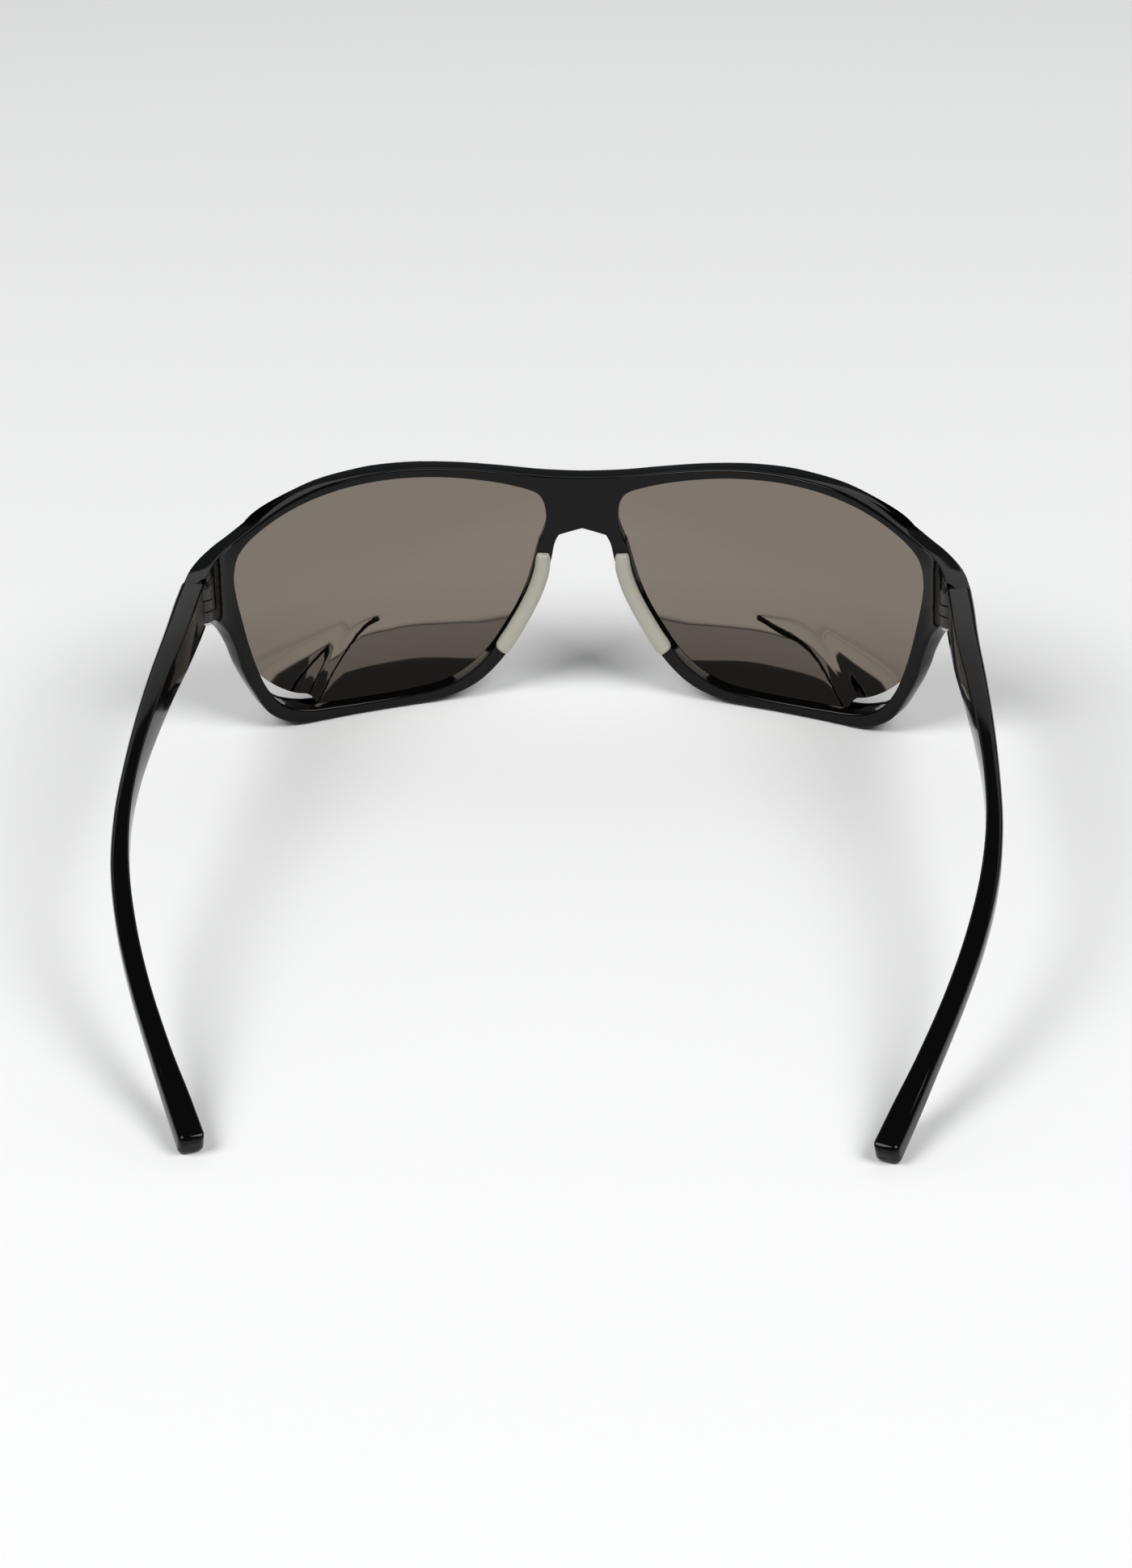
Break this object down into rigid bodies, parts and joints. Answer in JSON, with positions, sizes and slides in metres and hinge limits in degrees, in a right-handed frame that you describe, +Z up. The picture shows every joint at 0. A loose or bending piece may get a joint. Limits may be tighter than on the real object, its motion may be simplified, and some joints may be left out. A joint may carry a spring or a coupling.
{
  "type": "wraparound sport sunglasses",
  "caption": "Wraparound sunglasses: gloss black full-rim front, mirrored grey-brown lenses with lower side vents, soft nose pads and two slim folding arms.",
  "frame": {"origin": "on the ground under the middle of the whole object's box, with the lower rims and the arm tips standing on the ground", "axes": "+Z up, +X towards the wearer's left, +Y backwards along the open arms; the lenses face -Y"},
  "size_m": [0.1488, 0.164, 0.0472],
  "materials": {
    "frame_gloss": "polished black moulded nylon, mirror-like on curved faces",
    "temple_gloss": "polished black moulded nylon, as the front",
    "lens_tint": "polarised grey-brown lens with a thin mirror coat, darker towards the lower edge",
    "pad_rubber": "soft satin grey elastomer, slightly translucent",
    "hinge_plastic": "satin dark moulded hinge leaf",
    "screw_steel": "turned steel with a slotted head"
  },
  "bodies": {
    "front": {"front_frame": "frame_gloss", "left_lens": "lens_tint", "right_lens": "lens_tint", "left_nose_pad": "pad_rubber", "right_nose_pad": "pad_rubber", "left_front_hinge_leaf": "hinge_plastic", "right_front_hinge_leaf": "hinge_plastic", "left_hinge_screw": "screw_steel", "right_hinge_screw": "screw_steel"},
    "left_arm": {"left_temple": "temple_gloss", "left_temple_hinge_leaf": "hinge_plastic"},
    "right_arm": {"right_temple": "temple_gloss", "right_temple_hinge_leaf": "hinge_plastic"}
  },
  "joints": [
    {"name": "left_arm_fold", "type": "hinge", "parent": "front", "child": "left_arm", "pos_m": [0.06696, -0.04875, 0.03135], "axis": [0, 0, 1], "range_deg": [0, 88]},
    {"name": "right_arm_fold", "type": "hinge", "parent": "front", "child": "right_arm", "pos_m": [-0.06696, -0.04875, 0.03135], "axis": [0, 0, -1], "range_deg": [0, 82]}
  ]
}
